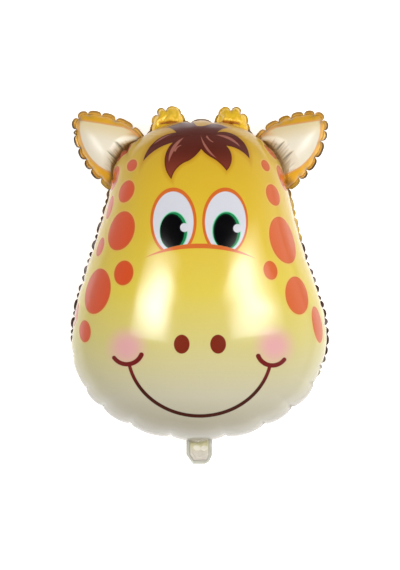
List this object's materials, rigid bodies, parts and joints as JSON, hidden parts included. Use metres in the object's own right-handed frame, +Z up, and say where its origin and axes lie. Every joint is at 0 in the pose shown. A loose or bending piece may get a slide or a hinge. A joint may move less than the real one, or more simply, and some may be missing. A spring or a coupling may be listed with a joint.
{
  "type": "giraffe foil balloon",
  "caption": "Filled foil party balloon shaped as a giraffe's head, with ears, stubby horns, a crimped welded rim and a clear filling valve, lying face up.",
  "frame": {"origin": "on the ground, under the middle of the balloon's length and width", "axes": "+X to the right of the face as it is looked at, +Y from the chin to the horns, +Z up out of the face"},
  "size_m": [0.4658, 0.645, 0.285],
  "materials": {
    "printed_film": "gloss",
    "clear_film": "gloss"
  },
  "bodies": {
    "root": {"balloon_body": "printed_film", "filling_valve": "clear_film"}
  },
  "joints": []
}
